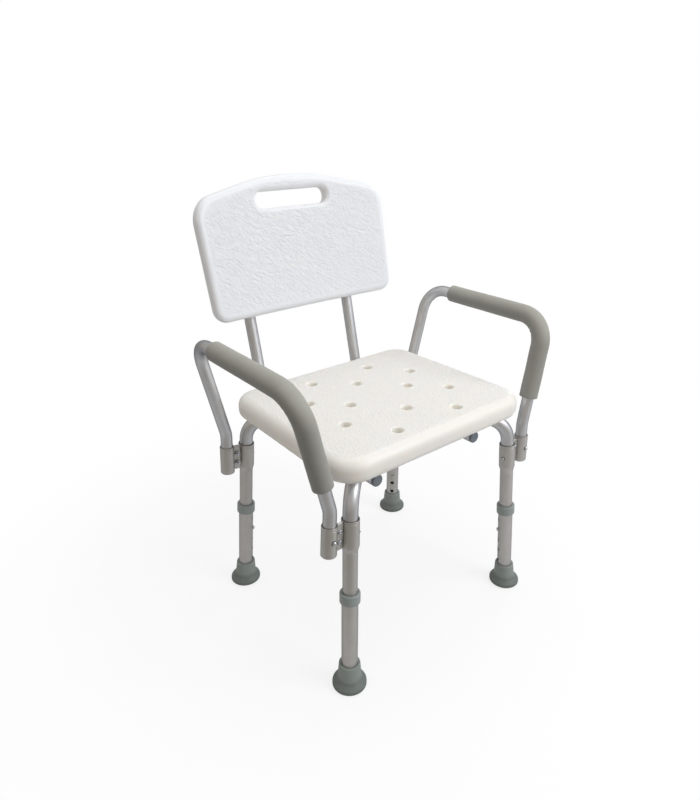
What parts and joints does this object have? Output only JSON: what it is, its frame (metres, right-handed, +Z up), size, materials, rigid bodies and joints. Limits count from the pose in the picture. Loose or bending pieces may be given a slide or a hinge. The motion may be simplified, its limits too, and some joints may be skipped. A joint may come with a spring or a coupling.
{
  "type": "shower chair",
  "caption": "Free-standing shower chair with a perforated seat, slotted backrest, lift-out padded armrests and height-adjustable telescopic legs.",
  "frame": {"origin": "middle of the whole chair's footprint, on the floor", "axes": "+X to the right as seen from the front (the sitter's left), +Y to the rear, +Z up"},
  "size_m": [0.5958, 0.5042, 0.8047],
  "materials": {
    "seat_plastic": "warm white moulded polyethylene with a fine pebbled top",
    "backrest_plastic": "cool white moulded polyethylene with a wrinkled leather texture",
    "satin_aluminium": "satin",
    "anodised_aluminium": "matte anodised",
    "collar_plastic": "smooth satin",
    "rubber": "matte",
    "foam": "closed-cell foam skin",
    "plug_plastic": "smooth satin",
    "zinc_steel": "bright zinc plated",
    "spring_steel": "plain"
  },
  "bodies": {
    "frame": {"seat_panel": "seat_plastic", "backrest_panel": "backrest_plastic", "cross_tube_upper": "satin_aluminium", "cross_tube_lower": "satin_aluminium", "back_tube_left": "satin_aluminium", "back_tube_plug_left": "plug_plastic", "back_tube_right": "satin_aluminium", "back_tube_plug_right": "plug_plastic", "seat_bolt_front_left": "zinc_steel", "upper_leg_front_left": "anodised_aluminium", "height_clip_front_left": "spring_steel", "arm_socket_front_left": "anodised_aluminium", "socket_bolt_front_left_lower": "zinc_steel", "socket_bolt_front_left_upper": "zinc_steel", "seat_bolt_front_right": "zinc_steel", "upper_leg_front_right": "anodised_aluminium", "height_clip_front_right": "spring_steel", "arm_socket_front_right": "anodised_aluminium", "socket_bolt_front_right_lower": "zinc_steel", "socket_bolt_front_right_upper": "zinc_steel", "seat_bolt_rear_left": "zinc_steel", "upper_leg_rear_left": "anodised_aluminium", "height_clip_rear_left": "spring_steel", "arm_socket_rear_left": "anodised_aluminium", "socket_bolt_rear_left_lower": "zinc_steel", "socket_bolt_rear_left_upper": "zinc_steel", "seat_bolt_rear_right": "zinc_steel", "upper_leg_rear_right": "anodised_aluminium", "height_clip_rear_right": "spring_steel", "arm_socket_rear_right": "anodised_aluminium", "socket_bolt_rear_right_lower": "zinc_steel", "socket_bolt_rear_right_upper": "zinc_steel"},
    "armrest_left": {"arm_tube_left": "satin_aluminium", "arm_pad_left": "foam"},
    "armrest_right": {"arm_tube_right": "satin_aluminium", "arm_pad_right": "foam"},
    "leg_front_left": {"lower_leg_front_left": "anodised_aluminium", "collar_front_left": "collar_plastic", "foot_front_left": "rubber"},
    "height_button_front_left": {"height_button_front_left": "zinc_steel"},
    "sleeve_button_front_left": {"sleeve_button_front_left": "zinc_steel"},
    "arm_button_front_left": {"arm_button_front_left": "zinc_steel"},
    "leg_front_right": {"lower_leg_front_right": "anodised_aluminium", "collar_front_right": "collar_plastic", "foot_front_right": "rubber"},
    "height_button_front_right": {"height_button_front_right": "zinc_steel"},
    "sleeve_button_front_right": {"sleeve_button_front_right": "zinc_steel"},
    "arm_button_front_right": {"arm_button_front_right": "zinc_steel"},
    "leg_rear_left": {"lower_leg_rear_left": "anodised_aluminium", "collar_rear_left": "collar_plastic", "foot_rear_left": "rubber"},
    "height_button_rear_left": {"height_button_rear_left": "zinc_steel"},
    "sleeve_button_rear_left": {"sleeve_button_rear_left": "zinc_steel"},
    "arm_button_rear_left": {"arm_button_rear_left": "zinc_steel"},
    "leg_rear_right": {"lower_leg_rear_right": "anodised_aluminium", "collar_rear_right": "collar_plastic", "foot_rear_right": "rubber"},
    "height_button_rear_right": {"height_button_rear_right": "zinc_steel"},
    "sleeve_button_rear_right": {"sleeve_button_rear_right": "zinc_steel"},
    "arm_button_rear_right": {"arm_button_rear_right": "zinc_steel"}
  },
  "joints": [
    {"name": "leg_height_front_left", "type": "slide", "parent": "frame", "child": "leg_front_left", "axis": [0.0548, 0.0548, 0.997], "range_m": [-0.0254, 0.0762], "deforming": ["height_button_front_left"]},
    {"name": "leg_height_front_right", "type": "slide", "parent": "frame", "child": "leg_front_right", "axis": [-0.0548, 0.0548, 0.997], "range_m": [-0.0254, 0.0762], "deforming": ["height_button_front_right"]},
    {"name": "leg_height_rear_left", "type": "slide", "parent": "frame", "child": "leg_rear_left", "axis": [0.0548, -0.0548, 0.997], "range_m": [-0.0254, 0.0762], "deforming": ["height_button_rear_left"]},
    {"name": "leg_height_rear_right", "type": "slide", "parent": "frame", "child": "leg_rear_right", "axis": [-0.0548, -0.0548, 0.997], "range_m": [-0.0254, 0.0762], "deforming": ["height_button_rear_right"]},
    {"name": "height_button_press_front_left", "type": "slide", "parent": "frame", "child": "height_button_front_left", "axis": [-0.705, -0.705, 0.0775], "range_m": [0, 0.004], "stiffness_N_per_m": 2500, "springref_m": -0.003, "deforming": ["height_clip_front_left"]},
    {"name": "height_button_press_front_right", "type": "slide", "parent": "frame", "child": "height_button_front_right", "axis": [0.8369, -0.542, 0.0758], "range_m": [0, 0.004], "stiffness_N_per_m": 2500, "springref_m": -0.003, "deforming": ["height_clip_front_right"]},
    {"name": "height_button_press_rear_left", "type": "slide", "parent": "frame", "child": "height_button_rear_left", "axis": [-0.705, 0.705, 0.0775], "range_m": [0, 0.004], "stiffness_N_per_m": 2500, "springref_m": -0.003, "deforming": ["height_clip_rear_left"]},
    {"name": "height_button_press_rear_right", "type": "slide", "parent": "frame", "child": "height_button_rear_right", "axis": [0.705, 0.705, 0.0775], "range_m": [0, 0.004], "stiffness_N_per_m": 2500, "springref_m": -0.003, "deforming": ["height_clip_rear_right"]},
    {"name": "sleeve_button_press_front_left", "type": "slide", "parent": "frame", "child": "sleeve_button_front_left", "axis": [-0.9888, 0.1419, 0.0466], "range_m": [0, 0.004], "stiffness_N_per_m": 2500, "springref_m": -0.003},
    {"name": "sleeve_button_press_front_right", "type": "slide", "parent": "frame", "child": "sleeve_button_front_right", "axis": [0.9888, 0.1419, 0.0466], "range_m": [0, 0.004], "stiffness_N_per_m": 2500, "springref_m": -0.003},
    {"name": "sleeve_button_press_rear_left", "type": "slide", "parent": "frame", "child": "sleeve_button_rear_left", "axis": [-0.9888, -0.1419, 0.0466], "range_m": [0, 0.004], "stiffness_N_per_m": 2500, "springref_m": -0.003},
    {"name": "sleeve_button_press_rear_right", "type": "slide", "parent": "frame", "child": "sleeve_button_rear_right", "axis": [0.9888, -0.1419, 0.0466], "range_m": [0, 0.004], "stiffness_N_per_m": 2500, "springref_m": -0.003},
    {"name": "armrest_lift_left", "type": "slide", "parent": "frame", "child": "armrest_left", "axis": [0.0549, 0, 0.9985], "range_m": [0, 0.045], "deforming": ["arm_button_front_left", "arm_button_rear_left"]},
    {"name": "armrest_lift_right", "type": "slide", "parent": "frame", "child": "armrest_right", "axis": [-0.0549, 0, 0.9985], "range_m": [0, 0.045], "deforming": ["arm_button_front_right", "arm_button_rear_right"]},
    {"name": "arm_button_press_front_left", "type": "slide", "parent": "armrest_left", "child": "arm_button_front_left", "axis": [0, 1, 0], "range_m": [0, 0.004], "stiffness_N_per_m": 2500, "springref_m": -0.003},
    {"name": "arm_button_press_front_right", "type": "slide", "parent": "armrest_right", "child": "arm_button_front_right", "axis": [0, 1, 0], "range_m": [0, 0.004], "stiffness_N_per_m": 2500, "springref_m": -0.003},
    {"name": "arm_button_press_rear_left", "type": "slide", "parent": "armrest_left", "child": "arm_button_rear_left", "axis": [0, -1, 0], "range_m": [0, 0.004], "stiffness_N_per_m": 2500, "springref_m": -0.003},
    {"name": "arm_button_press_rear_right", "type": "slide", "parent": "armrest_right", "child": "arm_button_rear_right", "axis": [0, -1, 0], "range_m": [0, 0.004], "stiffness_N_per_m": 2500, "springref_m": -0.003}
  ]
}
